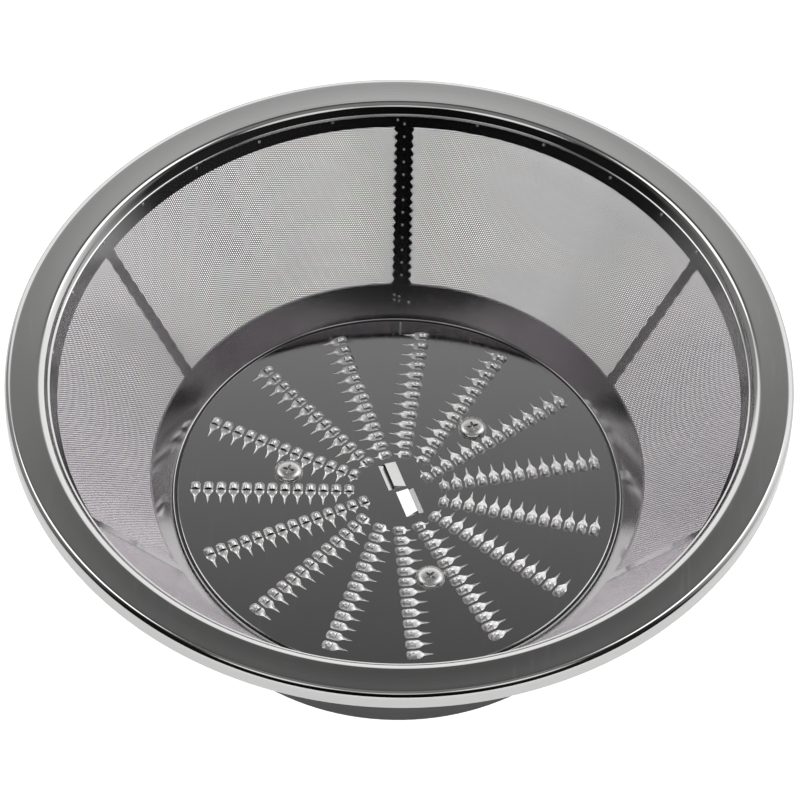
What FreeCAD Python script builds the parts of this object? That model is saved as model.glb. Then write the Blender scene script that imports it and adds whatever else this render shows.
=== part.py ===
"""Filter basket of a centrifugal juicer: rim, etched screen, grater disc, screws and drive hub."""
import FreeCAD, Part
import math
import os

from FreeCAD import Vector

# Heights above the base's lower edge, in millimetres
TOTAL_HEIGHT = 60.0
DISC_TOP = 16.2

# Rim ring
RIM_RADIUS = 90.0
RIM_SHEET = 0.5
FLANGE_WIDTH = 8.1
SKIRT_HEIGHT = 4.5
LIP_DEPTH = 2.4
EDGE_BEVEL = 1.2

# Screen
SCREEN_SHEET = 0.4
SCREEN_PANELS = 6
BAR_WIDTH = 2.2
SEAM_WIDTH = 3.4
SEAM_LAP = 0.3
TOP_MARGIN = 5.5
BOTTOM_MARGIN = 8.2
GAP_ROWS = 2
GAPS_PER_ROW = 6
GAP_STRAND = 1.0

# Grater disc
DISC_BORDER = 4.3
DISC_SHEET = 0.8
EDGE_GAP = 1.0
TOOTH_ROWS = 15
TEETH_PER_ROW = 13
FIRST_ROW_ANGLE = 84.0
OUTER_TOOTH_RADIUS = 47.0
INNER_TOOTH_RADIUS = 11.24
LONGER_ROWS = (5, 13)
HOOD_LENGTH = 2.2
HOOD_WIDTH = 2.3
HOOD_REAR_WIDTH = 1.3
HOOD_HEIGHT = 1.2
HOOD_REAR_WALL = 0.8
MOUTH_OFFSET = 0.3
KEEL_DEPTH = 0.5
LIP_WIDTH = 1.2
TAIL_LENGTH = 4.0
TOOTH_WEB = 0.4

# Lanced cutters at the disc's centre
CUTTER_ANGLE = 110.0
CUTTER_OFFSET_X = 0.9
CUTTER_OFFSET_Y = 0.9
CUTTER_START = 0.5
CUTTER_LENGTH = 7.6
CUTTER_WIDTH = 2.8
CUTTER_HEIGHT = 1.3
CUTTER_END_SLOPE = 0.6
CUTTER_SLOT = 0.5
CUTTER_BEVEL_WIDTH = 1.5
CUTTER_BEVEL_DEPTH = 0.5
CUTTERS = 2

# Screws
SCREWS = 3
SCREW_CIRCLE_RADIUS = 26.0
ROWS_TO_FIRST_SCREW = 1.5
SCREW_HEAD_RADIUS = 3.4
SCREW_HEAD_HEIGHT = 1.3
SCREW_SHANK_RADIUS = 1.5
SCREW_LENGTH = 6.0
RECESS_ARM = 1.5
RECESS_WIDTH = 0.6
RECESS_DEPTH = 0.8

# Drive hub
HUB_LEDGE = 1.36
HUB_WALL = 2.5
HUB_PLATE = 3.0
SOCKET_RADIUS = 6.0
SOCKET_WALL = 4.0
SOCKET_MOUTH_HEIGHT = 2.0
SOCKET_DEPTH = 11.0
DRIVE_SLOT_WIDTH = 4.0
DRIVE_SLOT_DEPTH = 3.0
SCREW_BOSS_WALL = 2.5
SCREW_BOSS_END = 1.5
RIB_THICKNESS = 1.8
RIB_FOOT_HEIGHT = 5.0

# Clearances
SEAT_GAP = 0.05
SHANK_CLEARANCE = 0.05
DISC_HOLE_CLEARANCE = 0.25
TOOL_REACH = 1.0

# Places that follow from the driving values
ORIGIN = Vector(0, 0, 0)
Z_AXIS = Vector(0, 0, 1)
DISC_RADIUS = OUTER_TOOTH_RADIUS + DISC_BORDER
DISC_UNDERSIDE = DISC_TOP - DISC_SHEET
TOOTH_PITCH = (OUTER_TOOTH_RADIUS - INNER_TOOTH_RADIUS) / (TEETH_PER_ROW - 1)
FLANGE_UNDERSIDE = TOTAL_HEIGHT - RIM_SHEET
CONE_FOOT_RADIUS = DISC_RADIUS + EDGE_GAP
CONE_TOP_RADIUS = RIM_RADIUS - FLANGE_WIDTH
CONE_SLOPE = (CONE_TOP_RADIUS - CONE_FOOT_RADIUS) / (FLANGE_UNDERSIDE - DISC_TOP)
CONE_COS = math.cos(math.atan(CONE_SLOPE))
SCREEN_SPAN = SCREEN_SHEET / CONE_COS
SCREW_ANGLE = FIRST_ROW_ANGLE - ROWS_TO_FIRST_SCREW * 360.0 / TOOTH_ROWS


def cone_radius(height):
    """Radius of the screen's inner face at a height."""
    return CONE_FOOT_RADIUS + (height - DISC_TOP) * CONE_SLOPE


def polygon(corners):
    """Flat face with the given corners."""
    return Part.Face(Part.makePolygon(corners + corners[:1]))


def revolve(points, angle=360.0):
    """Solid turned about +Z from a closed outline of (radius, height) points."""
    return polygon([Vector(radius, 0, height) for radius, height in points]).revolve(ORIGIN, Z_AXIS, angle)


def polyhedron(faces):
    """Solid with the given flat faces, each a list of corners."""
    shell = Part.makeShell([polygon(face) for face in faces])
    shell.sewShape()
    solid = Part.Solid(shell)
    if solid.Volume < 0:
        solid.reverse()
    return solid


def pyramid(base, apex):
    """Pyramid over a flat polygon."""
    sides = [[base[i - 1], base[i], apex] for i in range(len(base))]
    return polyhedron([base] + sides)


def turned(shape, angle):
    """Copy of a shape turned about +Z."""
    copy = shape.copy()
    copy.rotate(ORIGIN, Z_AXIS, angle)
    return copy


def ring_of(shape, count, start):
    """Copies of a shape spaced evenly about +Z."""
    return [turned(shape, start + index * 360.0 / count) for index in range(count)]


def rim_ring():
    """Pressed ring: outer skirt, flat flange and a lip nested inside the screen's top edge."""
    lip_foot = TOTAL_HEIGHT - LIP_DEPTH
    skirt_foot = TOTAL_HEIGHT - SKIRT_HEIGHT
    lip_gap = SEAT_GAP / CONE_COS
    lip_span = RIM_SHEET / CONE_COS + lip_gap
    return revolve([
        (cone_radius(lip_foot) - lip_gap, lip_foot),
        (cone_radius(FLANGE_UNDERSIDE) - lip_gap, FLANGE_UNDERSIDE),
        (RIM_RADIUS - RIM_SHEET, FLANGE_UNDERSIDE),
        (RIM_RADIUS - RIM_SHEET, skirt_foot),
        (RIM_RADIUS, skirt_foot),
        (RIM_RADIUS, TOTAL_HEIGHT - EDGE_BEVEL),
        (RIM_RADIUS - EDGE_BEVEL, TOTAL_HEIGHT),
        (cone_radius(TOTAL_HEIGHT) - lip_span, TOTAL_HEIGHT),
        (cone_radius(lip_foot) - lip_span, lip_foot),
    ])


def gap_cutters():
    """Cutters for the gaps of every panel, in rows that follow the cone."""
    low = DISC_TOP + BOTTOM_MARGIN * CONE_COS
    high = FLANGE_UNDERSIDE - TOP_MARGIN * CONE_COS
    strand_height = GAP_STRAND * CONE_COS
    row_step = (high - low + strand_height) / GAP_ROWS
    panel_angle = 2 * math.pi / SCREEN_PANELS
    cutters = []
    for row in range(GAP_ROWS):
        foot = low + row * row_step
        top = foot + row_step - strand_height
        radius = cone_radius((foot + top) / 2)
        strand_angle = GAP_STRAND / radius
        cell_angle = (panel_angle - BAR_WIDTH / radius + strand_angle) / GAPS_PER_ROW
        inner, outer = cone_radius(foot) - TOOL_REACH, cone_radius(top) + SCREEN_SPAN + TOOL_REACH
        window = revolve([(inner, foot), (outer, foot), (outer, top), (inner, top)],
                         math.degrees(cell_angle - strand_angle))
        for column in range(GAPS_PER_ROW):
            offset = BAR_WIDTH / radius / 2 + column * cell_angle
            cutters += ring_of(window, SCREEN_PANELS, 90.0 + math.degrees(offset))
    return cutters


def cone_wall(thickness):
    """Conical wall outside the screen's inner face, from the hub's top to the rim's flange."""
    return revolve([
        (cone_radius(DISC_UNDERSIDE), DISC_UNDERSIDE),
        (cone_radius(DISC_UNDERSIDE) + thickness, DISC_UNDERSIDE),
        (CONE_TOP_RADIUS + thickness, FLANGE_UNDERSIDE),
        (CONE_TOP_RADIUS, FLANGE_UNDERSIDE),
    ])


def mesh_screen():
    """Perforated strip rolled to a cone, with its ends lapped at the back."""
    strip = Part.makeBox(SEAM_WIDTH, RIM_RADIUS, TOTAL_HEIGHT, Vector(-SEAM_WIDTH / 2, 0, 0))
    lap = cone_wall(SCREEN_SPAN + SEAM_LAP).common(strip)
    return cone_wall(SCREEN_SPAN).cut(gap_cutters()).fuse(lap)


def grater_tooth(radius):
    """Hood and hollow of one tooth on +X; its mouth faces +Y and a keel-shaped tail runs down to it."""
    rear_y = MOUTH_OFFSET - HOOD_LENGTH
    room = 2 * math.pi * radius / TOOTH_ROWS - HOOD_LENGTH - TOOTH_WEB

    def across(width, y, z):
        """Ends of a line across the tooth."""
        return [Vector(radius - width / 2, y, z), Vector(radius + width / 2, y, z)]

    side = across(HOOD_WIDTH, MOUTH_OFFSET, DISC_TOP)
    lip = across(LIP_WIDTH, MOUTH_OFFSET, DISC_TOP + HOOD_HEIGHT)
    rear = across(HOOD_REAR_WIDTH, rear_y, DISC_TOP)
    keel = Vector(radius, MOUTH_OFFSET, DISC_TOP - KEEL_DEPTH)
    hollow_rear = Vector(radius, rear_y + HOOD_REAR_WALL, DISC_TOP)
    tail_tip = Vector(radius, MOUTH_OFFSET + min(TAIL_LENGTH, room), DISC_TOP)
    hood = polyhedron([side + lip[::-1], rear + lip[::-1], rear + side[::-1],
                       [side[0], lip[0], rear[0]], [side[1], lip[1], rear[1]]])
    hollow = pyramid([side[0], lip[0], lip[1], side[1], keel], hollow_rear)
    tail = pyramid([side[0], side[1], keel], tail_tip)
    return hood, [hollow, tail]


def centre_cutter():
    """Raised ramp along +X that opens towards +Y, and the cuts below and beside it."""
    start, end = CUTTER_START, CUTTER_START + CUTTER_LENGTH
    fold, edge = -CUTTER_WIDTH / 2, CUTTER_WIDTH / 2
    crest = DISC_TOP + CUTTER_HEIGHT

    def wedge(inset, base, top):
        """Wedge from the fold up to the open edge, with sloping ends."""
        near, far = start + inset, end - inset
        low = [Vector(near, fold + inset, base), Vector(far, fold + inset, base)]
        foot = [Vector(near, edge, base), Vector(far, edge, base)]
        high = [Vector(near + CUTTER_END_SLOPE, edge, top), Vector(far - CUTTER_END_SLOPE, edge, top)]
        return polyhedron([low + foot[::-1], low + high[::-1], foot + high[::-1],
                           [low[0], foot[0], high[0]], [low[1], foot[1], high[1]]])

    slot_edge = edge + CUTTER_SLOT
    profile = [(edge, DISC_UNDERSIDE), (slot_edge, DISC_UNDERSIDE),
               (slot_edge, DISC_TOP - CUTTER_BEVEL_DEPTH),
               (slot_edge + CUTTER_BEVEL_WIDTH, DISC_TOP), (edge, DISC_TOP)]
    slot_start, slot_length = start + DISC_SHEET, CUTTER_LENGTH - 2 * DISC_SHEET
    slot = polygon([Vector(slot_start, y, z) for y, z in profile]).extrude(Vector(slot_length, 0, 0))
    ramp = wedge(0, DISC_TOP, crest)
    return ramp, [wedge(DISC_SHEET, DISC_UNDERSIDE, crest - DISC_SHEET), slot]


def grater_disc():
    """Stamped disc with rows of lanced teeth, two lanced cutters and the screw holes."""
    plate = Part.makeCylinder(DISC_RADIUS, DISC_SHEET, Vector(0, 0, DISC_UNDERSIDE))
    raised, cuts = [], []
    for index in range(TEETH_PER_ROW):
        hood, openings = grater_tooth(OUTER_TOOTH_RADIUS - index * TOOTH_PITCH)
        raised += ring_of(hood, TOOTH_ROWS, FIRST_ROW_ANGLE)
        for opening in openings:
            cuts += ring_of(opening, TOOTH_ROWS, FIRST_ROW_ANGLE)
    hood, openings = grater_tooth(INNER_TOOTH_RADIUS - TOOTH_PITCH)
    for row in LONGER_ROWS:
        row_angle = FIRST_ROW_ANGLE + row * 360.0 / TOOTH_ROWS
        raised.append(turned(hood, row_angle))
        cuts += [turned(opening, row_angle) for opening in openings]
    cutter_centre = Vector(CUTTER_OFFSET_X, CUTTER_OFFSET_Y, 0)
    ramp, openings = centre_cutter()
    raised += [copy.translated(cutter_centre) for copy in ring_of(ramp, CUTTERS, CUTTER_ANGLE)]
    for opening in openings:
        cuts += [copy.translated(cutter_centre) for copy in ring_of(opening, CUTTERS, CUTTER_ANGLE)]
    hole = Part.makeCylinder(SCREW_SHANK_RADIUS + DISC_HOLE_CLEARANCE, DISC_SHEET,
                             Vector(SCREW_CIRCLE_RADIUS, 0, DISC_UNDERSIDE))
    cuts += ring_of(hole, SCREWS, SCREW_ANGLE)
    return plate.fuse(raised).cut(cuts)


def disc_screws():
    """Cross-recess screws that hold the disc down on the hub."""
    crown = DISC_TOP + SCREW_HEAD_HEIGHT
    tip = DISC_TOP - SCREW_LENGTH
    blank = revolve([(0, tip), (SCREW_SHANK_RADIUS, tip), (SCREW_SHANK_RADIUS, DISC_TOP),
                     (SCREW_HEAD_RADIUS, DISC_TOP), (SCREW_HEAD_RADIUS, crown), (0, crown)])
    slot = Part.makeBox(2 * RECESS_ARM, RECESS_WIDTH, RECESS_DEPTH,
                        Vector(-RECESS_ARM, -RECESS_WIDTH / 2, crown - RECESS_DEPTH))
    screw = blank.cut([slot, turned(slot, 90.0)])
    screw.translate(Vector(SCREW_CIRCLE_RADIUS, 0, 0))
    return Part.makeCompound(ring_of(screw, SCREWS, SCREW_ANGLE))


def drive_hub():
    """Moulded base: outer wall, top plate, drive socket, screw bosses and ribs."""
    plate_underside = DISC_UNDERSIDE - HUB_PLATE
    hub_radius = cone_radius(DISC_UNDERSIDE) + SCREEN_SPAN + HUB_LEDGE
    wall_inner = hub_radius - HUB_WALL
    cup = revolve([(0, plate_underside), (wall_inner, plate_underside), (wall_inner, 0), (hub_radius, 0),
                   (hub_radius, DISC_UNDERSIDE), (0, DISC_UNDERSIDE)])
    socket_boss = Part.makeCylinder(SOCKET_RADIUS + SOCKET_WALL, plate_underside - SOCKET_MOUTH_HEIGHT,
                                    Vector(0, 0, SOCKET_MOUTH_HEIGHT))
    screw_tip = DISC_TOP - SCREW_LENGTH
    pilot_radius = SCREW_SHANK_RADIUS + SHANK_CLEARANCE
    boss_foot = screw_tip - SHANK_CLEARANCE - SCREW_BOSS_END
    screw_boss = Part.makeCylinder(pilot_radius + SCREW_BOSS_WALL, plate_underside - boss_foot,
                                   Vector(SCREW_CIRCLE_RADIUS, 0, boss_foot))
    rib = Part.makeBox(wall_inner - SOCKET_RADIUS - SOCKET_WALL / 2 + HUB_WALL / 2, RIB_THICKNESS,
                       plate_underside - RIB_FOOT_HEIGHT,
                       Vector(SOCKET_RADIUS + SOCKET_WALL / 2, -RIB_THICKNESS / 2, RIB_FOOT_HEIGHT))
    added = [socket_boss] + ring_of(screw_boss, SCREWS, SCREW_ANGLE) + ring_of(rib, SCREWS, SCREW_ANGLE)
    bore = Part.makeCylinder(SOCKET_RADIUS, SOCKET_DEPTH, Vector(0, 0, SOCKET_MOUTH_HEIGHT))
    slot_length = 2 * (SOCKET_RADIUS + SOCKET_WALL + TOOL_REACH)
    drive_slot = Part.makeBox(slot_length, DRIVE_SLOT_WIDTH, DRIVE_SLOT_DEPTH,
                              Vector(-slot_length / 2, -DRIVE_SLOT_WIDTH / 2, SOCKET_MOUTH_HEIGHT))
    pilot = Part.makeCylinder(pilot_radius, DISC_UNDERSIDE - screw_tip + SHANK_CLEARANCE,
                              Vector(SCREW_CIRCLE_RADIUS, 0, screw_tip - SHANK_CLEARANCE))
    return cup.fuse(added).cut([bore, drive_slot] + ring_of(pilot, SCREWS, SCREW_ANGLE)).removeSplitter()


os.makedirs("parts", exist_ok=True)
NODES = {
    "rim_ring": rim_ring(),
    "mesh_screen": mesh_screen(),
    "grater_disc": grater_disc(),
    "disc_screws": disc_screws(),
    "drive_hub": drive_hub(),
}
for name, shape in NODES.items():
    shape.exportStep("parts/" + name + ".step")
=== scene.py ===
"""Looks of the juicer's filter basket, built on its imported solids."""
import math
import random

import bmesh
import bpy
import numpy as np
from mathutils import Matrix, Vector
from mathutils.geometry import delaunay_2d_cdt


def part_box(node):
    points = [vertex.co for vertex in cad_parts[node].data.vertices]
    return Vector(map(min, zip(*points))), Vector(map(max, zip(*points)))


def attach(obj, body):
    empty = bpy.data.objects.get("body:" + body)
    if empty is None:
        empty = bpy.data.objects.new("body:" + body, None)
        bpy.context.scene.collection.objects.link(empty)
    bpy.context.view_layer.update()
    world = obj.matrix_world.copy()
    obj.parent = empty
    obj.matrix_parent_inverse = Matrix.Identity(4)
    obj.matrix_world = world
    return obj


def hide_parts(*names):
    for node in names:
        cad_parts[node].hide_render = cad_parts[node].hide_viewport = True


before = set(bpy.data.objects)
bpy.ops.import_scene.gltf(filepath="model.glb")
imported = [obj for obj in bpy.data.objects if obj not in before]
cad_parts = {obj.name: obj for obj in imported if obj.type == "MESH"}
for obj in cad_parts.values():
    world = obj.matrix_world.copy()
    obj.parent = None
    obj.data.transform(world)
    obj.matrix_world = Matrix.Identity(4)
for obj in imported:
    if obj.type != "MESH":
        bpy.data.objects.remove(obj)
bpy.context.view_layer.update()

MM = 0.001
FULL_TURN = 2 * math.pi
RNG = random.Random(7)


# Sizes of the solids, in millimetres

def solid_box(node):
    """Lowest and highest corner of a solid."""
    return [[round(c / MM, 4) for c in corner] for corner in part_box(node)]


RIM_LOW, RIM_HIGH = solid_box("rim_ring")
SCREEN_HIGH = solid_box("mesh_screen")[1]
DISC_LOW, DISC_HIGH = solid_box("grater_disc")

FACET_ROOM = 0.0049
FLANGE_WIDTH = 8.1
LIP_DEPTH = 2.4
SHEET = 0.4
DISC_SHEET = 0.8
EDGE_GAP = 1.0

TOP = RIM_HIGH[2]
SKIRT_FOOT = RIM_LOW[2]
RIM_R = -RIM_LOW[0] - FACET_ROOM
FLANGE_UNDER = SCREEN_HIGH[2]
RIM_SHEET = TOP - FLANGE_UNDER
LIP_FOOT = TOP - LIP_DEPTH
DISC_R = DISC_HIGH[0]
DISC_UNDER = DISC_LOW[2]
DISC_TOP = DISC_UNDER + DISC_SHEET
CONE_FOOT_R = DISC_R + EDGE_GAP
CONE_TOP_R = RIM_HIGH[0] - FLANGE_WIDTH
SLOPE = (CONE_TOP_R - CONE_FOOT_R) / (FLANGE_UNDER - DISC_TOP)
ALPHA = math.atan(SLOPE)
SIN_A, COS_A = math.sin(ALPHA), math.cos(ALPHA)


def cone_r(z):
    """Radius of the screen's inner face at a height."""
    return CONE_FOOT_R + (z - DISC_TOP) * SLOPE


def cone_z(radius):
    """Height at which the screen's inner face has a radius."""
    return DISC_TOP + (radius - CONE_FOOT_R) / SLOPE


# Materials

class Nodes:
    """A node tree with short calls to add and link nodes."""

    def __init__(self, tree):
        self.tree = tree
        tree.nodes.clear()

    def add(self, kind, inputs=None, **props):
        node = self.tree.nodes.new(kind)
        for key, value in props.items():
            setattr(node, key, value)
        for key, value in (inputs or {}).items():
            if isinstance(value, bpy.types.NodeSocket):
                self.tree.links.new(value, node.inputs[key])
            else:
                node.inputs[key].default_value = value
        return node

    def math(self, op, a, b=0.0, clamp=False):
        return self.add("ShaderNodeMath", {0: a, 1: b}, operation=op, use_clamp=clamp).outputs[0]

    def ramp(self, fac, stops):
        node = self.add("ShaderNodeValToRGB", {0: fac})
        points = node.color_ramp.elements
        while len(points) < len(stops):
            points.new(1.0)
        for point, (place, value) in zip(points, stops):
            point.position = place
            point.color = (*value, 1.0) if isinstance(value, tuple) else (value, value, value, 1.0)
        return node.outputs[0]

    def noise(self, vector, scale, detail=2.0, rough=0.5):
        inputs = {"Vector": vector, "Scale": scale, "Detail": detail, "Roughness": rough}
        return self.add("ShaderNodeTexNoise", inputs).outputs[0]


def material(name, build):
    """Node material whose surface comes from build(nodes)."""
    mat = bpy.data.materials.new(name)
    mat.use_nodes = True
    nodes = Nodes(mat.node_tree)
    surface = build(nodes)
    nodes.add("ShaderNodeOutputMaterial", {"Surface": surface.outputs[0]})
    return mat


# Texture counts to the metre, and shares of each texture in gloss, tint and relief
ROLLING_LINES = 2600.0
ROLLING_WANDER = 3.0
SMUDGES = 55.0
SMUDGE_SHARE = 0.7
SCRATCHES = (900.0, 60.0, 300.0)
SCRATCH_TURN = 0.6
SCRATCH_LEVELS = ((0.62, 0.0), (0.70, 1.0))
SCRATCH_ROUGHNESS = 0.03
SCRATCH_HEIGHT = 0.15
TINT_SPREAD = 0.48
DARKEST_TINT = 0.92
STEEL_RELIEF = 0.00004


def steel(name, tint, roughness, brushed, bump):
    """Stainless sheet: faint rolling lines round the axis, smudges in its gloss and fine scratches."""
    def build(n):
        place = n.add("ShaderNodeTexCoord").outputs["Object"]
        x, y, z = n.add("ShaderNodeSeparateXYZ", {0: place}).outputs
        radius = n.math("SQRT", n.math("ADD", n.math("MULTIPLY", x, x), n.math("MULTIPLY", y, y)))
        lines = n.add("ShaderNodeCombineXYZ", {
            0: n.math("MULTIPLY", radius, ROLLING_LINES),
            1: n.math("MULTIPLY", n.math("ARCTAN2", y, x), ROLLING_WANDER),
            2: n.math("MULTIPLY", z, ROLLING_LINES),
        })
        rolled = n.noise(lines.outputs[0], 1.0, detail=3.0, rough=0.6)
        smudge = n.noise(place, SMUDGES, detail=5.0, rough=0.55)
        slant = n.add("ShaderNodeMapping", {
            "Vector": place,
            "Rotation": (0.0, 0.0, SCRATCH_TURN),
            "Scale": SCRATCHES,
        })
        scratch = n.ramp(n.noise(slant.outputs[0], 1.0), SCRATCH_LEVELS)
        gloss = n.math("ADD", n.math("MULTIPLY", smudge, SMUDGE_SHARE),
                       n.math("MULTIPLY", rolled, 1.0 - SMUDGE_SHARE))
        smoothest, roughest = roughness
        rough = n.math("ADD", n.math("MULTIPLY", gloss, roughest - smoothest), smoothest)
        rough = n.math("ADD", rough, n.math("MULTIPLY", scratch, SCRATCH_ROUGHNESS), clamp=True)
        shade = n.math("MULTIPLY", n.math("ADD", rolled, smudge), TINT_SPREAD, clamp=True)
        colour = n.ramp(shade, [(0.0, tuple(DARKEST_TINT * c for c in tint)), (1.0, tint)])
        height = n.math("ADD", n.math("MULTIPLY", rolled, brushed),
                        n.math("MULTIPLY", scratch, SCRATCH_HEIGHT))
        normal = n.add("ShaderNodeBump", {"Strength": bump, "Distance": STEEL_RELIEF, "Height": height})
        return n.add("ShaderNodeBsdfPrincipled", {
            "Base Color": colour,
            "Metallic": 1.0,
            "Roughness": rough,
            "Normal": normal.outputs[0],
        })
    return material(name, build)


PLASTIC_GRAIN = 4200.0
PLASTIC_CLOUDS = 60.0
PLASTIC_TONES = ((0.3, (0.056, 0.0555, 0.057)), (0.7, (0.068, 0.0675, 0.069)))
PLASTIC_ROUGHNESS = 0.32
PLASTIC_SCUFFS = 0.2
PLASTIC_BUMP = 0.25
PLASTIC_RELIEF = 0.00005


def plastic(name):
    """Dark moulded plastic with a fine satin grain and slight scuffs."""
    def build(n):
        place = n.add("ShaderNodeTexCoord").outputs["Object"]
        grain = n.noise(place, PLASTIC_GRAIN)
        cloud = n.noise(place, PLASTIC_CLOUDS, detail=4.0)
        rough = n.math("ADD", n.math("MULTIPLY", cloud, PLASTIC_SCUFFS), PLASTIC_ROUGHNESS)
        relief = {"Strength": PLASTIC_BUMP, "Distance": PLASTIC_RELIEF, "Height": grain}
        normal = n.add("ShaderNodeBump", relief)
        return n.add("ShaderNodeBsdfPrincipled", {
            "Base Color": n.ramp(cloud, PLASTIC_TONES),
            "Roughness": rough,
            "Normal": normal.outputs[0],
        })
    return material(name, build)


RIM_STEEL = steel("rim_steel", (0.66, 0.655, 0.65), (0.06, 0.11), brushed=0.3, bump=0.12)
DISC_STEEL = steel("disc_steel", (0.62, 0.615, 0.615), (0.03, 0.07), brushed=0.1, bump=0.06)
# The teeth get a far lighter tint than the disc sheet they are pressed from: a painted highlight that makes
# the hoods read bright
TOOTH_STEEL_PAINTED_LIGHT = steel("tooth_steel_painted_light", (0.92, 0.915, 0.91), (0.27, 0.33), brushed=0.1, bump=0.04)
SCREEN_STEEL = steel("screen_steel", (0.60, 0.59, 0.595), (0.10, 0.17), brushed=0.1, bump=0.06)
MESH_STEEL = steel("mesh_steel", (0.68, 0.63, 0.672), (0.06, 0.13), brushed=0.1, bump=0.06)
CUTTER_STEEL = steel("cutter_steel", (0.66, 0.655, 0.65), (0.14, 0.22), brushed=0.2, bump=0.1)
SCREW_STEEL = steel("screw_steel", (0.68, 0.675, 0.665), (0.2, 0.3), brushed=0.4, bump=0.4)
HUB_PLASTIC = plastic("hub_plastic")


# Mesh helpers

# Corners 0 to 3 of a block are one end in order, and 4 to 7 the other
BLOCK_ENDS = [(3, 2, 1, 0), (4, 5, 6, 7)]
BLOCK_WALLS = {"low": (0, 1, 5, 4), "right": (1, 2, 6, 5), "high": (2, 3, 7, 6), "left": (3, 0, 4, 7)}


def piece(mesh, mat, slot, *nodes):
    """Adds a mesh to the scene as a piece of the basket that stands for some of its solids."""
    obj = bpy.data.objects.new(mesh.name, mesh)
    bpy.context.scene.collection.objects.link(obj)
    mesh.materials.append(mat)
    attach(obj, "root")
    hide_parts(*nodes)


def smooth(mesh, angle=32.0):
    """Smooth shading with sharp edges past an angle."""
    mesh.polygons.foreach_set("use_smooth", [True] * len(mesh.polygons))
    mesh.set_sharp_from_angle(angle=math.radians(angle))
    return mesh


def mesh_from(name, verts, faces):
    """Mesh from corners in millimetres."""
    mesh = bpy.data.meshes.new(name)
    mesh.from_pydata([tuple(c * MM for c in v) for v in verts], [], faces)
    mesh.validate()
    mesh.update()
    return mesh


def lathe(name, outline, segments=360):
    """Outline of (radius, height) points turned about +Z; it may be a function of the angle from +X."""
    verts, faces = [], []
    for s in range(segments):
        a = FULL_TURN * s / segments
        section = outline(a) if callable(outline) else outline
        verts += [(r * math.cos(a), r * math.sin(a), z) for r, z in section]
    count = len(verts) // segments
    for s in range(segments):
        t = (s + 1) % segments
        for i in range(count):
            j = (i + 1) % count
            faces.append((s * count + i, t * count + i, t * count + j, s * count + j))
    return smooth(mesh_from(name, verts, faces))


def circle(radius, count):
    """Points round a circle, from +x."""
    angles = [FULL_TURN * s / count for s in range(count)]
    return [(radius * math.cos(a), radius * math.sin(a)) for a in angles]


def arc(cx, cy, radius, start, end, steps=8):
    """Points along an arc, in degrees."""
    angles = [math.radians(start + (end - start) * i / steps) for i in range(steps + 1)]
    return [(cx + radius * math.cos(a), cy + radius * math.sin(a)) for a in angles]


# Rim

RIM_SEGMENTS = 480
EDGE_BEND = 1.5
LIP_BEND = 2.3
LIP_INSET = 0.3
BEND_STEPS = 10
BACK_STEPS = 5
# Points beside a bend hold the flat run next to it flat in its shading
HOLD = 0.06
FLANGE_STEPS = 6
FLANGE_DISH = 0.01
SKIRT_ROUND = 0.1
SKIRT_HOLDS = (0.12, 0.2)
HEM_RADIUS = 0.2
HEM_START = 0.6
HEM_CURL = 0.45
LIP_ROUND = 0.03


def bend_reach(radius):
    """Length that a bend between the cone and a level sheet takes from each of them."""
    return radius * math.tan((math.pi / 2 - ALPHA) / 2)


def rim_outline():
    """Section of the pressed ring, with its rolled outer edge and the lip's bend."""
    cone = math.degrees(ALPHA)
    span = RIM_SHEET / COS_A
    corner = cone_r(TOP) - LIP_INSET - span
    bend = (corner + bend_reach(LIP_BEND), TOP - LIP_BEND)
    edge = (RIM_R - EDGE_BEND, TOP - EDGE_BEND)
    lip_in = corner - LIP_DEPTH * SLOPE
    skirt_in = RIM_R - RIM_SHEET
    flat_start, flat_end = edge[0] - HOLD, bend[0] + HOLD
    skin = [(RIM_R, SKIRT_FOOT + lift) for lift in SKIRT_HOLDS]
    skin += [(RIM_R, TOP - EDGE_BEND - HOLD)]
    skin += arc(*edge, EDGE_BEND, 0, 90, BEND_STEPS)
    for i in range(FLANGE_STEPS + 1):
        share = i / FLANGE_STEPS
        dip = FLANGE_DISH * (1 - (2 * share - 1) ** 2)
        skin.append((flat_start + (flat_end - flat_start) * share, TOP - dip))
    skin += arc(*bend, LIP_BEND, 90, 180 - cone, BEND_STEPS)
    skin += [(skin[-1][0] - HOLD * SIN_A, skin[-1][1] - HOLD * COS_A)]
    skin += [(lip_in + HEM_START * SLOPE + HOLD, LIP_FOOT + HEM_START)]
    skin += [(lip_in + HEM_CURL * SLOPE, LIP_FOOT + HEM_CURL)]
    skin += arc(lip_in + HEM_RADIUS / 2, LIP_FOOT + HEM_RADIUS, HEM_RADIUS, 100, 270)
    back = [(lip_in + span, LIP_FOOT + LIP_ROUND)]
    back += arc(*bend, LIP_BEND - RIM_SHEET, 180 - cone, 90, BACK_STEPS)
    back += arc(*edge, EDGE_BEND - RIM_SHEET, 90, 0, BACK_STEPS)
    back += [(skirt_in, SKIRT_FOOT + SKIRT_ROUND), (skirt_in + SKIRT_ROUND, SKIRT_FOOT)]
    back += [(RIM_R - SKIRT_ROUND, SKIRT_FOOT)]
    return skin + back


piece(lathe("rim_ring_formed", rim_outline(), RIM_SEGMENTS), RIM_STEEL, "polished_steel", "rim_ring")


# Screen: one etched sheet, laid out flat about the cone's tip and rolled up

PANELS = 6
PANEL_TURN = 360.0 / PANELS
BOTTOM_MARGIN = 8.2
TOP_MARGIN = 5.5
SIDE_MARGIN = 1.3
PANEL_LOW = DISC_TOP + BOTTOM_MARGIN * COS_A
PANEL_HIGH = FLANGE_UNDER - TOP_MARGIN * COS_A
PLAIN_BORDER = 1.2

PITCH = 0.54
ROW = PITCH * math.sqrt(3) / 2
HOLE_SHARE = 0.565
MESH_SHEET = 0.06
STRIP_CELLS = 6
LATTICE_TURN = 4.5

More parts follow.
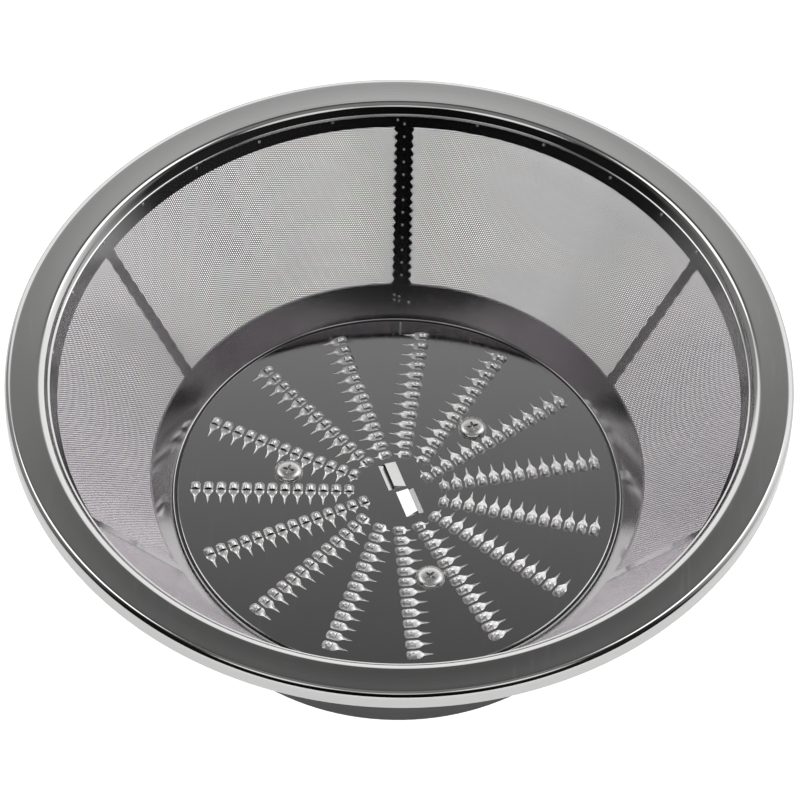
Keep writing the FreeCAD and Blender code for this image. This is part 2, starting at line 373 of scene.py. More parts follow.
# Plain bars between the panels, with the narrow and wide places of their serrated edges
BAR = 2.2
BAR_WIDTHS = (2.3, 3.1)
BAR_POINTS = 11
BAR_OVERLAP = 0.4
BAR_ENDS = (PANEL_LOW - BAR_OVERLAP, PANEL_HIGH + BAR_OVERLAP)
BAND_PROUD = 0.02
SEAM_BAR = 3.3
SEAM_WIDTHS = (3.2, 5.0)
SEAM_POINTS = 20
SEAM_FOOT = 1.2
SEAM_HEAD = 3.0
SEAM_ENDS = (DISC_TOP + SEAM_FOOT, PANEL_HIGH + SEAM_HEAD)
SEAM_PROUD = 0.12
SEAM_BACK = 0.25
STRIP_COLUMNS = (-0.5, -0.25, 0.0, 0.25, 0.5)

END_ROOM = 0.02
FOOT_BEND = 0.4
FOOT_SINK = 0.25
FOOT_START = 1.0
FOOT_EDGE = 0.03

# Weld marks: rings as shares of the radius and the height, and (azimuth, height) of those at the foot
WELD_RADIUS = 0.42
WELD_HEIGHT = 0.2
WELD_SIDES = 10
WELD_CREASE = 80.0
WELD_RINGS = ((1.0, -0.03), (0.72, 0.55), (0.35, 0.9))
SEAM_WELDS = 13
SEAM_WELD_PITCH = 2.55
SEAM_WELD_START = 2.0
FOOT_WELDS = [(-0.5, 20.6), (-1.6, 20.9), (-1.6, 19.9), (-0.5, 19.7), (1.9, 19.4)]
RIM_WELDS = 30
RIM_WELD_START = -84.0
RIM_WELD_HEIGHT = 1.6
WELD_WANDER = 1.5
WELD_STRAY = 0.3


def flat_radius(z):
    """Distance from the cone's tip along its face."""
    return cone_r(z) / SIN_A


def roll(flat, depth):
    """Points of the flat sheet rolled to the cone, depth millimetres outside its inner face."""
    reach = np.hypot(flat[:, 0], flat[:, 1])
    turn = np.arctan2(flat[:, 0], flat[:, 1]) / SIN_A + math.radians(LATTICE_TURN)
    radius = reach * SIN_A + depth * COS_A
    height = cone_z(reach * SIN_A) - depth * SIN_A
    return np.stack([radius * np.sin(turn), radius * np.cos(turn), height], 1)


def sheet_rows():
    """Rows of the flat sheet's lattice: each row's height, and its cells' places, azimuths and distances."""
    reach = flat_radius(PANEL_HIGH)
    rows, cols = int(reach / ROW) + 1, int(reach / PITCH) + 1
    for j in range(-rows, rows + 1):
        y = j * ROW
        x = (np.arange(-cols, cols + 1) + 0.5 * (j % 2)) * PITCH
        yield y, x, np.degrees(np.arctan2(x, y) / SIN_A) + LATTICE_TURN, np.hypot(x, y)


def margin_top(azimuth):
    """Distance from the tip to the upper margin, which is a little deeper at the sides."""
    return flat_radius(PANEL_HIGH) - SIDE_MARGIN * np.sin(np.radians(azimuth)) ** 2


def cell_states(azimuth, reach):
    """Panel of each cell, and whether the cell is pierced; -1 stands for no cell."""
    nearest = np.round(azimuth / PANEL_TURN) * PANEL_TURN
    across = np.abs(np.radians(azimuth - nearest)) * reach * SIN_A
    half_bar = np.where(nearest == 0.0, SEAM_BAR, BAR) / 2
    low, high = flat_radius(PANEL_LOW), margin_top(azimuth)
    half = PITCH / 2
    pierced = (reach > low - half) & (reach < high + half) & (across > half_bar - half)
    within = (reach > low - PLAIN_BORDER) & (reach < flat_radius(PANEL_HIGH) + PLAIN_BORDER)
    used = within & (np.abs(azimuth) < 180.0)
    panel = np.minimum(np.floor(azimuth / PANEL_TURN).astype(int) + PANELS // 2, PANELS - 1)
    return np.where(used, panel, -1), pierced & used


def runs(panel, pierced):
    """Stretches of neighbouring cells of one panel and one state, as (panel, pierced, first, last)."""
    change = np.flatnonzero((np.diff(panel) != 0) | (np.diff(pierced.astype(int)) != 0)) + 1
    edges = [0, *change.tolist(), len(panel)]
    return [(panel[a], pierced[a], a, b - 1) for a, b in zip(edges, edges[1:]) if panel[a] >= 0]


def bar_quads(x0, x1, y0, y1, walls):
    """Rectangles of sheet: corners on both faces, and quads for the faces and the named side walls."""
    corners = ((x0, y0), (x1, y0), (x1, y1), (x0, y1))
    flat = np.stack([np.stack(corner, 1) for corner in corners], 1).reshape(-1, 2)
    points = np.stack([roll(flat, depth).reshape(-1, 4, 3) for depth in (0.0, MESH_SHEET)], 1)
    pattern = np.array(BLOCK_ENDS + [BLOCK_WALLS[wall] for wall in walls])
    quads = np.arange(len(x0))[:, None, None] * 8 + pattern[None]
    return points.reshape(-1, 3), quads.reshape(-1, 4)


def run_strips(x, y, pierced):
    """Sheet of one run of cells: plain, or two strips along the row with cross strips between them."""
    start, end = x[0] - PITCH / 2, x[-1] + PITCH / 2
    cuts = np.linspace(start, end, max(1, math.ceil(len(x) / STRIP_CELLS)) + 1)
    left, right = cuts[:-1], cuts[1:]
    level = np.full(len(left), y)
    if not pierced:
        return [bar_quads(left, right, level - ROW / 2, level + ROW / 2, ())]
    gap = ROW * HOLE_SHARE / 2
    half = PITCH * (1 - HOLE_SHARE) / 2
    posts = np.linspace(start, end, len(x) + 1)
    post_level = np.full(len(posts), y)
    return [bar_quads(left, right, level - ROW / 2, level - gap, ("high",)),
            bar_quads(left, right, level + gap, level + ROW / 2, ("low",)),
            bar_quads(posts - half, posts + half, post_level - gap, post_level + gap, ("left", "right"))]


def mesh_from_arrays(name, points, quads):
    """Mesh of quads from arrays, in millimetres."""
    mesh = bpy.data.meshes.new(name)
    mesh.vertices.add(len(points))
    mesh.vertices.foreach_set("co", (points * MM).ravel())
    mesh.loops.add(quads.size)
    mesh.loops.foreach_set("vertex_index", quads.ravel().astype(np.int32))
    mesh.polygons.add(len(quads))
    mesh.polygons.foreach_set("loop_start", np.arange(0, quads.size, 4, dtype=np.int32))
    mesh.update(calc_edges=True)
    return mesh


def screen_panels():
    """Six perforated panels of one lattice, each with the plain sheet round it."""
    parts = [[] for _ in range(PANELS)]
    for y, x, azimuth, reach in sheet_rows():
        panel, pierced = cell_states(azimuth, reach)
        for owner, is_pierced, first, last in runs(panel, pierced):
            parts[owner] += run_strips(x[first:last + 1], y, is_pierced)
    for number, strips in enumerate(parts, 1):
        starts = np.cumsum([0] + [len(points) for points, _ in strips])
        points = np.concatenate([points for points, _ in strips])
        quads = np.concatenate([quads + start for (_, quads), start in zip(strips, starts)])
        mesh = mesh_from_arrays(f"screen_panel_{number}", points, quads)
        piece(mesh, MESH_STEEL, "etched_steel", "mesh_screen")


def top_band_outline(angle):
    """Section of the upper margin at an angle from +X."""
    low = cone_z(float(margin_top(90.0 - math.degrees(angle))) * SIN_A)
    high = FLANGE_UNDER - END_ROOM
    inset = BAND_PROUD / COS_A
    span = (SHEET + 2 * BAND_PROUD) / COS_A
    return [(cone_r(low) - inset, low), (cone_r(low) - inset + span, low),
            (cone_r(high) - inset + span, high), (cone_r(high) - inset, high)]


def foot_outline():
    """Section of the lower margin, whose foot is bent in towards the disc."""
    inset = BAND_PROUD / COS_A
    low, high, start = DISC_UNDER + END_ROOM, PANEL_LOW, DISC_TOP + FOOT_START
    corner_z = DISC_TOP - FOOT_SINK
    corner = cone_r(corner_z) - inset
    reach = bend_reach(FOOT_BEND)
    tip = corner - reach - FOOT_EDGE
    centre = (corner + reach * SIN_A - FOOT_BEND * COS_A, corner_z + reach * COS_A + FOOT_BEND * SIN_A)
    inner = [(cone_r(high) - inset, high), (cone_r(start) - inset, start)]
    inner += arc(*centre, FOOT_BEND, -math.degrees(ALPHA), -90)
    inner += [(tip, corner_z), (tip, low)]
    outer = [(cone_r(low) + SHEET / COS_A, low), (cone_r(high) + (SHEET + BAND_PROUD) / COS_A, high)]
    return inner + outer


def strip(name, azimuth, widths, low, high, points, proud, back=0.0):
    """Plain strip of sheet that runs up the cone at an azimuth, with small etched points along its edges."""
    verts, faces = [], []
    steps, wide = 2 * points, len(STRIP_COLUMNS)
    for i in range(steps + 1):
        z = low + (high - low) * i / steps
        for depth in (-proud, SHEET + back):
            r = cone_r(z) + depth * COS_A
            for side in STRIP_COLUMNS:
                a = math.radians(azimuth) + side * widths[i % 2] / cone_r(z)
                verts.append((r * math.sin(a), r * math.cos(a), z - depth * SIN_A))
    for i in range(steps):
        b, t = 2 * wide * i, 2 * wide * (i + 1)
        for s in range(wide - 1):
            faces.append((b + s, b + s + 1, t + s + 1, t + s))
            faces.append((b + s + wide + 1, b + s + wide, t + s + wide, t + s + wide + 1))
        faces.append((b + wide, b, t, t + wide))
        faces.append((b + wide - 1, b + 2 * wide - 1, t + 2 * wide - 1, t + wide - 1))
    end = 2 * wide * steps
    for s in range(wide - 1):
        faces.append((s + 1, s, s + wide, s + wide + 1))
        faces.append((end + s, end + s + 1, end + s + wide + 1, end + s + wide))
    return smooth(mesh_from(name, verts, faces))


def dots(name, places):
    """Low round weld marks on the cone's inner face at (azimuth, height) places."""
    verts, faces = [], []
    for azimuth, z in places:
        a = math.radians(azimuth)
        out = Vector((math.sin(a) * COS_A, math.cos(a) * COS_A, -SIN_A))
        side = Vector((math.cos(a), -math.sin(a), 0.0))
        up = out.cross(side)
        centre = Vector((math.sin(a) * cone_r(z), math.cos(a) * cone_r(z), z))
        first = len(verts)
        for share, lift in WELD_RINGS:
            for x, y in circle(WELD_RADIUS * share, WELD_SIDES):
                verts.append(centre + side * x + up * y - out * WELD_HEIGHT * lift)
        tip = len(verts)
        verts.append(centre - out * WELD_HEIGHT)
        for level in range(len(WELD_RINGS) - 1):
            b = first + level * WELD_SIDES
            for s in range(WELD_SIDES):
                t = (s + 1) % WELD_SIDES
                faces.append((b + s, b + t, b + WELD_SIDES + t, b + WELD_SIDES + s))
        for s in range(WELD_SIDES):
            faces.append((tip - WELD_SIDES + s, tip - WELD_SIDES + (s + 1) % WELD_SIDES, tip))
    return smooth(mesh_from(name, verts, faces), WELD_CREASE)


def weld_places():
    """Places of the weld marks along the seam, at its foot and round the upper margin."""
    seam = [(0.0, PANEL_LOW + SEAM_WELD_START + SEAM_WELD_PITCH * i) for i in range(SEAM_WELDS)]
    rim_marks = []
    for i in range(RIM_WELDS):
        azimuth = RIM_WELD_START + 360.0 / RIM_WELDS * i + RNG.uniform(-WELD_WANDER, WELD_WANDER)
        rim_marks.append((azimuth, PANEL_HIGH + RIM_WELD_HEIGHT + RNG.uniform(-WELD_STRAY, WELD_STRAY)))
    return seam + FOOT_WELDS + rim_marks


def screen_piece(mesh, mat=SCREEN_STEEL):
    """Adds a plain part of the screen."""
    piece(mesh, mat, "etched_steel", "mesh_screen")


screen_panels()
screen_piece(lathe("screen_top_margin", top_band_outline))
screen_piece(lathe("screen_foot_margin", foot_outline()))
for number in range(1, PANELS):
    bar = strip(f"screen_bar_{number}", PANEL_TURN * number, BAR_WIDTHS, *BAR_ENDS, BAR_POINTS, BAND_PROUD)
    screen_piece(bar)
screen_piece(strip("screen_lap_seam", 0, (SEAM_BAR, SEAM_BAR), *SEAM_ENDS, 1, SEAM_PROUD, SEAM_BACK))
screen_piece(strip("screen_seam_edge", 0, SEAM_WIDTHS, *BAR_ENDS, SEAM_POINTS, BAND_PROUD))
# The weld marks take the teeth's lightened steel: painted highlight
screen_piece(dots("screen_weld_marks", weld_places()), TOOTH_STEEL_PAINTED_LIGHT)


# Grater disc

TOOTH_ROWS = 15
TEETH = 13
ROW_TURN = 84.0
OUTER_TOOTH = 47.0
INNER_TOOTH = 11.2
LONGER_ROWS = (5, 13)
TOOTH_WEB = 0.4
HOOD_LENGTH = 2.35
HOOD_HALF = 1.15
HOOD_HEIGHT = 1.05
HOOD_REAR = 0.25
CREST_PLACE = 0.62
CREST_ROUND = 0.8
DOME_ROUND = 0.75
LIP_HEIGHT = 0.9
LIP_SHEET = 0.16
LIP_NARROWING = 0.85
MOUTH_PLACE = 0.3
TAIL = 4.0
INNERMOST_TAIL = 2.0
TAIL_HALF = 0.34
TAIL_TAPER = 1.3
LANDING = 2.1
LANDING_SHARE = 0.5
LANDING_PLAIN = 0.25
LANDING_HEIGHT = 0.14
LANDING_FALL = 1.2
GROOVE = 0.2
GROOVE_START = 0.6
GROOVE_RUN = 0.7
GROOVE_ROUND = 1.7

TOOTH_CREASE = 50.0
# Shares of a tooth's half width, and of the lengths of its hood, its landing and its tail
TOOTH_COLUMNS = (-1.0, -0.9, -0.68, -0.36, 0.0, 0.36, 0.68, 0.9, 1.0)
HOOD_STATIONS = (1.0, 0.97, 0.88, 0.74, 0.56, 0.36, 0.16, 0.0)
LANDING_STATIONS = (0.0, 0.25, 0.5, 0.75, 1.0)
TAIL_STATIONS = (0.3, 0.6, 0.9, 1.0)
# Place, share of the width and drop of each section inside the mouth
HOLLOW_STATIONS = ((0.0, 1.0, 0.0), (-0.5, 0.9, 0.2), (-1.0, 0.7, 0.5), (-1.2, 0.6, 1.4))

CUTTER_TURN = math.radians(110.0)
CUTTER_CENTRE = (0.9, 0.9)
CUTTER_START, CUTTER_END = 0.5, 8.1
CUTTER_FOLD, CUTTER_EDGE = -1.4, 1.4
CUTTER_HEIGHT = 0.8
CUTTER_SLOPE = 0.4
CUTTER_SHEET = 0.4
CUTTER_SLOT = 0.3
BEVEL_WIDTH = 1.1
BEVEL_FALL = 0.2

HIDDEN_DEPTH = 0.7
EDGE_ROUND = 0.3
EDGE_STEPS = 6
UNDER_ROUND = 0.15
UNDER_RING = 6.0
DISC_SEGMENTS = 360
SAME_POINT = 1e-5


def landing_length(tail):
    """Length of the sheet in front of a tooth's mouth, before its tail narrows."""
    return min(LANDING, LANDING_SHARE * tail)


def tooth_half_width(t, tail):
    """Half width of a tooth's outline; t runs from the hood's rear past the mouth at 0 to the tail's tip."""
    if t <= 0.0:
        rear = min(1.0, (t + HOOD_LENGTH) / HOOD_LENGTH / HOOD_REAR)
        return HOOD_HALF * math.sqrt(1.0 - (1.0 - rear) ** 2)
    landing = landing_length(tail)
    if t < landing:
        narrowing = max(0.0, t / landing - LANDING_PLAIN) / (1.0 - LANDING_PLAIN)
        return TAIL_HALF + (HOOD_HALF - TAIL_HALF) * (0.5 + 0.5 * math.cos(math.pi * narrowing))
    return TAIL_HALF * (1.0 - ((t - landing) / (tail - landing)) ** TAIL_TAPER)


def dome(u):
    """Share of a tooth's height across its width."""
    return (1.0 - u ** 2) ** DOME_ROUND


def tooth_mesh(tail):
    """Corners and faces of one lanced tooth, and its outline in the plane; its mouth faces +t."""
    verts, faces = [], []

    def grid(rows):
        """Adds rows of equal length and joins each to the next."""
        first, wide = len(verts), len(rows[0])
        for row in rows:
            verts.extend(row)
        for i in range(len(rows) - 1):
            for j in range(wide - 1):
                a = first + i * wide + j
                faces.append((a, a + 1, a + 1 + wide, a + wide))

    stations = [-HOOD_LENGTH * share for share in HOOD_STATIONS]
    hood = []
    for t in stations:
        share = 1.0 + t / HOOD_LENGTH
        rise = math.sin(math.pi / 2 * min(1.0, share / CREST_PLACE)) ** CREST_ROUND
        sag = max(0.0, (share - CREST_PLACE) / (1.0 - CREST_PLACE)) ** 2
        crest = HOOD_HEIGHT * rise - (HOOD_HEIGHT - LIP_HEIGHT) * sag
        width = tooth_half_width(t, tail)
        hood.append([(t, width * u, crest * dome(u)) for u in TOOTH_COLUMNS])
    lip = [(t, s * LIP_NARROWING, max(0.0, n - LIP_SHEET)) for t, s, n in hood[-1]]
    hollow = []
    for place, share, drop in HOLLOW_STATIONS:
        hollow.append([(t + place, s * share, n - drop) for t, s, n in lip])
    landing = landing_length(tail)
    sections = [landing * share for share in LANDING_STATIONS]
    sections += [landing + (tail - landing) * share for share in TAIL_STATIONS]
    groove_start = GROOVE_START * landing
    groove = []
    for t in sections:
        width = tooth_half_width(t, tail)
        rise = LANDING_HEIGHT * max(0.0, 1.0 - t / landing) ** LANDING_FALL
        run = max(0.0, (t - groove_start) / (tail - groove_start)) ** GROOVE_RUN
        fall = GROOVE * math.sin(math.pi * run)
        sunk = [fall * (1.0 - abs(u) ** GROOVE_ROUND) for u in TOOTH_COLUMNS]
        groove.append([(t, width * u, rise * dome(u) - drop) for u, drop in zip(TOOTH_COLUMNS, sunk)])
    grid(hood)
    grid([hood[-1], lip])
    grid(hollow)
    grid(groove)
    there = stations + sections[1:]
    outline = [(t, tooth_half_width(t, tail)) for t in there]
    outline += [(t, -tooth_half_width(t, tail)) for t in there[-2:0:-1]]
    return verts, faces, outline


def placed(radius, turn, points):
    """Points (t, s, n) of a tooth on a row, in the basket's frame."""
    ca, sa = math.cos(turn), math.sin(turn)
    result = []
    for t, s, n in points:
        x, y = radius + s, t + MOUTH_PLACE
        result.append((x * ca - y * sa, x * sa + y * ca, DISC_TOP + n))
    return result


def disc_teeth():
    """Corners and faces of all the teeth, and the outlines of their holes."""
    all_verts, all_faces, loops = [], [], []
    pitch = (OUTER_TOOTH - INNER_TOOTH) / (TEETH - 1)
    for index in range(TEETH + 1):
        radius = OUTER_TOOTH - index * pitch
        room = FULL_TURN * radius / TOOTH_ROWS - HOOD_LENGTH - TOOTH_WEB
        whole_circle = index < TEETH
        verts, faces, outline = tooth_mesh(min(TAIL, room) if whole_circle else INNERMOST_TAIL)
        for row in range(TOOTH_ROWS) if whole_circle else LONGER_ROWS:
            turn = math.radians(ROW_TURN + row * 360.0 / TOOTH_ROWS)
            first = len(all_verts)
            all_verts += placed(radius, turn, verts)
            all_faces += [tuple(first + i for i in face) for face in faces]
            loops.append([p[:2] for p in placed(radius, turn, [(t, s, 0.0) for t, s in outline])])
    return all_verts, all_faces, loops


def cutter_mesh():
    """Corners and faces of one lanced cutter along +x, open towards +y, and the outline of its hole."""
    start, end, fold, edge = CUTTER_START, CUTTER_END, CUTTER_FOLD, CUTTER_EDGE
    near, far = start + CUTTER_SLOPE, end - CUTTER_SLOPE
    high, under = CUTTER_HEIGHT, CUTTER_HEIGHT - CUTTER_SHEET
    inner, outer = edge + CUTTER_SLOT, edge + CUTTER_SLOT + BEVEL_WIDTH
    verts = [(start, fold, 0.0), (end, fold, 0.0), (far, edge, high), (near, edge, high),
             (start, edge, 0.0), (end, edge, 0.0), (far, edge, under), (near, edge, under),
             (start, fold + CUTTER_SHEET, -HIDDEN_DEPTH), (end, fold + CUTTER_SHEET, -HIDDEN_DEPTH),
             (start, inner, -BEVEL_FALL), (end, inner, -BEVEL_FALL), (end, outer, 0.0), (start, outer, 0.0),
             (start, inner, 0.0), (end, inner, 0.0),
             (start, inner, -HIDDEN_DEPTH), (end, inner, -HIDDEN_DEPTH)]
    ramp = [(0, 1, 2, 3), (3, 2, 6, 7), (0, 3, 4), (1, 5, 2), (3, 7, 4), (2, 5, 6), (7, 6, 9, 8)]
    bevel = [(10, 11, 12, 13), (10, 13, 14), (11, 15, 12), (16, 17, 11, 10)]
    outline = [(start, fold), (end, fold), (end, outer), (start, outer)]
    return verts, ramp + bevel, outline


def disc_cutters():
    """Corners and faces of the pair of cutters, and the outlines of their holes."""
    all_verts, all_faces, loops = [], [], []
    verts, faces, outline = cutter_mesh()
    cx, cy = CUTTER_CENTRE
    for turn in (CUTTER_TURN, CUTTER_TURN + math.pi):
        ca, sa = math.cos(turn), math.sin(turn)
        first = len(all_verts)
        all_verts += [(cx + x * ca - y * sa, cy + x * sa + y * ca, DISC_TOP + z) for x, y, z in verts]
        all_faces += [tuple(first + i for i in face) for face in faces]
        loops.append([(cx + x * ca - y * sa, cy + x * sa + y * ca) for x, y in outline])
    return all_verts, all_faces, loops


def pierced_sheet(loops):
    """Corners and faces of the disc's flat top, open inside each loop; loops run anticlockwise."""
    points, sides, outlines = [], [], []
    for loop in [circle(DISC_R - EDGE_ROUND, DISC_SEGMENTS)] + loops:
        around = list(range(len(points), len(points) + len(loop)))
        points += loop
        sides += list(zip(around, around[1:] + around[:1]))
        outlines.append(around)
    flat = delaunay_2d_cdt([Vector(p) for p in points], sides, outlines, 0, SAME_POINT)
    corners, triangles, origins = flat[0], flat[2], flat[5]
    top = [tri for tri, origin in zip(triangles, origins) if list(origin) == [0]]
    return [(p.x, p.y, DISC_TOP) for p in corners], top


def edge_outline():
    """Section of the disc's rounded edge and underside."""
    flat_end, ring_in = DISC_R - EDGE_ROUND, DISC_R - UNDER_RING
    top = arc(flat_end, DISC_TOP - EDGE_ROUND, EDGE_ROUND, 90, 0, EDGE_STEPS)
    under = [(DISC_R, DISC_UNDER + UNDER_ROUND), (DISC_R - UNDER_ROUND, DISC_UNDER), (ring_in, DISC_UNDER)]
    return top + under + [(ring_in, DISC_TOP - HIDDEN_DEPTH), (flat_end, DISC_TOP - HIDDEN_DEPTH)]


def disc_piece(mesh, mat):
    """Adds a part of the grater disc."""
    piece(mesh, mat, "polished_steel", "grater_disc")


tooth_verts, tooth_faces, tooth_loops = disc_teeth()
cutter_verts, cutter_faces, cutter_loops = disc_cutters()
disc_piece(mesh_from("grater_sheet", *pierced_sheet(tooth_loops + cutter_loops)), DISC_STEEL)
disc_piece(smooth(mesh_from("grater_teeth", tooth_verts, tooth_faces), TOOTH_CREASE), TOOTH_STEEL_PAINTED_LIGHT)
disc_piece(mesh_from("grater_cutters", cutter_verts, cutter_faces), CUTTER_STEEL)
disc_piece(lathe("grater_edge", edge_outline()), DISC_STEEL)


# Screws

SCREW_CIRCLE = 26.0
SCREW_SEAT = 0.01
SCREW_SIDES = 64
SCREW_CREASE = 40.0
SCREW_TIP = 1.0
# Pan head as (radius, height), from near its middle to its seat
SCREW_SKIN = ((0.8, 0.99), (1.6, 0.96), (2.1, 0.9), (2.5, 0.81), (2.9, 0.65), (3.15, 0.47), (3.3, 0.28),
              (3.38, 0.12), (3.38, 0.03), (3.3, 0.0))
# Tapered arms of the recess as (height, half length, half width)
RECESS_LEVELS = ((0.15, 0.7, 0.2), (1.6, 1.75, 0.36))
# Azimuth of each screw, and the turn of its recess
SCREW_PLACES = ((42.0, 20.0), (162.0, 52.0), (282.0, 75.0))


def screw_mesh():
    """Pan-head screw, seated at the origin."""
    bm = bmesh.new()
    rings = [[bm.verts.new((x, y, z)) for x, y in circle(r, SCREW_SIDES)] for r, z in SCREW_SKIN]
    tip = bm.verts.new((0.0, 0.0, SCREW_TIP))
    for s in range(SCREW_SIDES):
        t = (s + 1) % SCREW_SIDES
        bm.faces.new((tip, rings[0][s], rings[0][t]))
        for inner, outer in zip(rings, rings[1:]):
            bm.faces.new((inner[s], outer[s], outer[t], inner[t]))
    bm.faces.new(rings[-1][::-1])
    bmesh.ops.recalc_face_normals(bm, faces=bm.faces)
    mesh = bpy.data.meshes.new("disc_screw_blank")
    bm.to_mesh(mesh)
    bm.free()
    return mesh


def cross_tool():
    """Tapered cross that sinks the screw's recess."""
    bm = bmesh.new()
    for turn in (0.0, math.pi / 2):
        ca, sa = math.cos(turn), math.sin(turn)
        corners = []
        for z, long, wide in RECESS_LEVELS:
            for x, y in ((-long, -wide), (long, -wide), (long, wide), (-long, wide)):
                corners.append(bm.verts.new((x * ca - y * sa, x * sa + y * ca, z)))
        for face in BLOCK_ENDS + list(BLOCK_WALLS.values()):
            bm.faces.new([corners[i] for i in face])
    mesh = bpy.data.meshes.new("cross_tool")
    bm.to_mesh(mesh)
    bm.free()
    return mesh


def cut_screw():
    """Mesh of a screw with its cross recess cut."""
    blank = bpy.data.objects.new("screw_blank", screw_mesh())
    tool = bpy.data.objects.new("screw_tool", cross_tool())
    for obj in (blank, tool):
        bpy.context.scene.collection.objects.link(obj)
    cut = blank.modifiers.new("recess", "BOOLEAN")
    cut.object, cut.operation, cut.solver, cut.use_self = tool, "DIFFERENCE", "EXACT", True
    bpy.context.view_layer.update()
    graph = bpy.context.evaluated_depsgraph_get()
    mesh = bpy.data.meshes.new_from_object(blank.evaluated_get(graph))
    bpy.data.objects.remove(blank)
    bpy.data.objects.remove(tool)
    return mesh


def screws():
    """Three screws, each turned its own way."""
    cut_mesh = cut_screw()
    for number, (azimuth, turn) in enumerate(SCREW_PLACES, 1):
        mesh = cut_mesh.copy()
        mesh.name = f"disc_screw_{number}"
        a = math.radians(azimuth)
        place = Vector((SCREW_CIRCLE * math.sin(a), SCREW_CIRCLE * math.cos(a), DISC_TOP + SCREW_SEAT))
        spin = Matrix.Rotation(math.radians(turn), 4, "Z")
        mesh.transform(Matrix.Translation(place * MM) @ spin @ Matrix.Scale(MM, 4))
        piece(smooth(mesh, SCREW_CREASE), SCREW_STEEL, "screw_steel", "disc_screws")


screws()


# Hub: the solid keeps its shape and gets its finish

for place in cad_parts["drive_hub"].material_slots:
    place.material = HUB_PLASTIC


# Stage, in metres: floor, light and camera

WHITE = (1.0, 1.0, 1.0, 1.0)
FLOOR_HALF = 6.0
FLOOR_DROP = 0.00005
FLOOR_CLOUDS = 3.0
FLOOR_TONES = ((0.3, 0.86), (0.7, 0.9))
CAMERA_GLOW = 0.7
REFLECTED_GLOW = 0.17

# Brightness of the sweep by height, of the room by azimuth from the back, and of the ceiling by height
SWEEP_GLOW = 1.25
SWEEP_HEIGHTS = ((0, 1.0), (44, 0.95), (47, 0.68), (49, 0.42), (50, 0.35), (51, 0.235), (52.5, 0.145),
                 (54, 0.088), (57, 0.04), (62, 0.03))
ROOM_AZIMUTHS = ((-180, 0.003), (-105, 0.01), (-78, 0.2), (-46, 0.28), (-38, 0.95), (0, 1.0), (60, 1.0),
                 (80, 0.5), (105, 0.02), (180, 0.003))
CEILING_HEIGHTS = ((0, 0.0), (56, 0.0), (64, 0.08), (74, 0.22), (90, 0.25))
# Azimuth, height, strength and spread of each soft box
SOFT_BOXES = ((-50.0, 57.0, 1.8, 13.0), (48.0, 58.0, 1.8, 14.0), (-140.0, 62.0, 1.0, 12.0),
              (140.0, 62.0, 1.0, 12.0), (180.0, 64.0, 0.8, 9.0))
SOFT_EDGE = 3.0

FILL_SIZE = 1.0
FILL_POWER = 25.0
FILL_DISTANCE = 2.0
FILL_HEIGHT = math.radians(38.0)

# Camera fitted to the photo: the aim point's height, and where the photo shows that point, in pixels
PHOTO_SIZE = 800.0
PHOTO_AIM = (399.4, 378.4)
PHOTO_FOCAL = 6565.0
AIM_HEIGHT = 0.0588
CAMERA_HEIGHT = math.radians(51.52)
CAMERA_DISTANCE = 1.496
CAMERA_ROLL = math.radians(1.16)
CAMERA_SENSOR = 36.0
CAMERA_CLIP = (0.05, 20.0)


def stage_floor():
    """Pale floor that reads white to the camera and in reflections, and still takes a shadow."""
    def build(n):
        place = n.add("ShaderNodeTexCoord").outputs["Object"]
        matt = n.add("ShaderNodeBsdfDiffuse", {"Color": n.ramp(n.noise(place, FLOOR_CLOUDS), FLOOR_TONES)})
        path = n.add("ShaderNodeLightPath")
        seen = n.math("ADD", n.math("MULTIPLY", path.outputs["Is Camera Ray"], CAMERA_GLOW),
                      n.math("MULTIPLY", path.outputs["Is Glossy Ray"], REFLECTED_GLOW))
        glow = n.add("ShaderNodeEmission", {"Color": WHITE, "Strength": seen})
        return n.add("ShaderNodeAddShader", {0: matt.outputs[0], 1: glow.outputs[0]})
    mesh = bpy.data.meshes.new("floor")
    h = FLOOR_HALF
    mesh.from_pydata([(-h, -h, 0), (h, -h, 0), (h, h, 0), (-h, h, 0)], [], [(0, 1, 2, 3)])
    mesh.materials.append(material("floor_white", build))
    floor = bpy.data.objects.new("floor", mesh)
    floor.location.z = -FLOOR_DROP
    bpy.context.scene.collection.objects.link(floor)


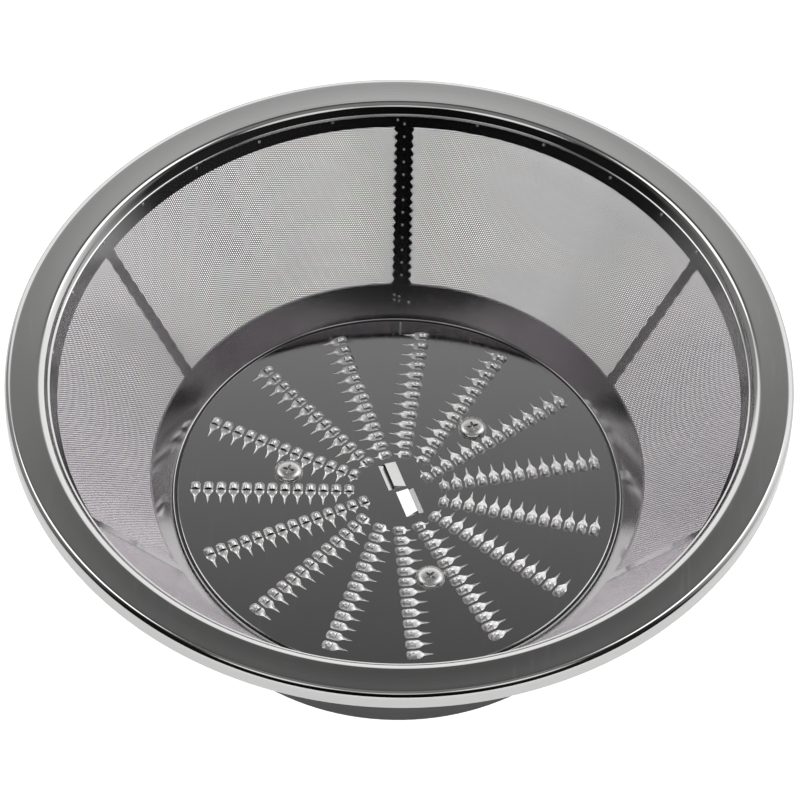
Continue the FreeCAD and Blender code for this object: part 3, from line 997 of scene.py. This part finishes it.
def studio_light():
    """Soft light all round: white sweep behind, brighter to the right, dim overhead, dark room in front."""
    world = bpy.data.worlds.new("studio")
    bpy.context.scene.world = world
    world.use_nodes = True
    n = Nodes(world.node_tree)
    way = n.add("ShaderNodeTexCoord").outputs["Generated"]
    x, y, z = n.add("ShaderNodeSeparateXYZ", {0: way}).outputs
    sine = n.math("MINIMUM", n.math("MAXIMUM", z, -1.0), 1.0)
    height = n.math("DIVIDE", n.math("ARCSINE", sine), math.pi / 2)
    turn = n.math("ADD", n.math("DIVIDE", n.math("ARCTAN2", x, y), FULL_TURN), 0.5)
    sweep = n.ramp(height, [(degrees / 90.0, value) for degrees, value in SWEEP_HEIGHTS])
    room = n.ramp(turn, [(degrees / 360.0 + 0.5, value) for degrees, value in ROOM_AZIMUTHS])
    ceiling = n.ramp(height, [(degrees / 90.0, value) for degrees, value in CEILING_HEIGHTS])
    glow = n.math("ADD", n.math("MULTIPLY", n.math("MULTIPLY", sweep, room), SWEEP_GLOW), ceiling)
    for azimuth, elevation, strength, spread in SOFT_BOXES:
        a, e = math.radians(azimuth), math.radians(elevation)
        centre = (math.sin(a) * math.cos(e), math.cos(a) * math.cos(e), math.sin(e))
        near = n.add("ShaderNodeVectorMath", {0: way, 1: centre}, operation="DOT_PRODUCT").outputs["Value"]
        outer, inner = math.cos(math.radians(spread)), math.cos(math.radians(spread - SOFT_EDGE))
        box = n.ramp(near, [(outer, 0.0), (inner, 1.0)])
        glow = n.math("ADD", glow, n.math("MULTIPLY", box, strength))
    light = n.add("ShaderNodeBackground", {"Color": WHITE, "Strength": glow})
    n.add("ShaderNodeOutputWorld", {"Surface": light.outputs[0]})


def front_fill():
    """Broad soft lamp in front that lights the matt surfaces to a plain level and stays out of the steel."""
    data = bpy.data.lights.new("front_fill", "AREA")
    data.size, data.energy = FILL_SIZE, FILL_POWER
    lamp = bpy.data.objects.new("front_fill", data)
    lamp.visible_camera = lamp.visible_glossy = lamp.visible_transmission = False
    lamp.location = (0.0, -FILL_DISTANCE * math.cos(FILL_HEIGHT), FILL_DISTANCE * math.sin(FILL_HEIGHT))
    lamp.rotation_euler = (math.pi / 2 - FILL_HEIGHT, 0.0, 0.0)
    bpy.context.scene.collection.objects.link(lamp)


def camera():
    """Camera at the photograph's angle."""
    ahead = Vector((0.0, math.cos(CAMERA_HEIGHT), -math.sin(CAMERA_HEIGHT)))
    level_up = Vector((0.0, math.sin(CAMERA_HEIGHT), math.cos(CAMERA_HEIGHT)))
    level_right = Vector((1.0, 0.0, 0.0))
    right = level_right * math.cos(CAMERA_ROLL) + level_up * math.sin(CAMERA_ROLL)
    up = level_up * math.cos(CAMERA_ROLL) - level_right * math.sin(CAMERA_ROLL)
    place = Vector((0.0, 0.0, AIM_HEIGHT)) - ahead * CAMERA_DISTANCE
    middle = PHOTO_SIZE / 2
    ahead += (right * (middle - PHOTO_AIM[0]) - up * (middle - PHOTO_AIM[1])) / PHOTO_FOCAL
    ahead.normalize()
    right = (right - ahead * right.dot(ahead)).normalized()
    up = right.cross(ahead)
    data = bpy.data.cameras.new("camera")
    data.sensor_width = CAMERA_SENSOR
    data.lens = CAMERA_SENSOR * PHOTO_FOCAL / PHOTO_SIZE
    data.clip_start, data.clip_end = CAMERA_CLIP
    cam = bpy.data.objects.new("camera", data)
    turn = Matrix((right, up, -ahead)).transposed()
    cam.matrix_world = Matrix.Translation(place) @ turn.to_4x4()
    bpy.context.scene.collection.objects.link(cam)
    bpy.context.scene.camera = cam


stage_floor()
studio_light()
front_fill()
camera()
bpy.context.scene.view_settings.view_transform = "Standard"
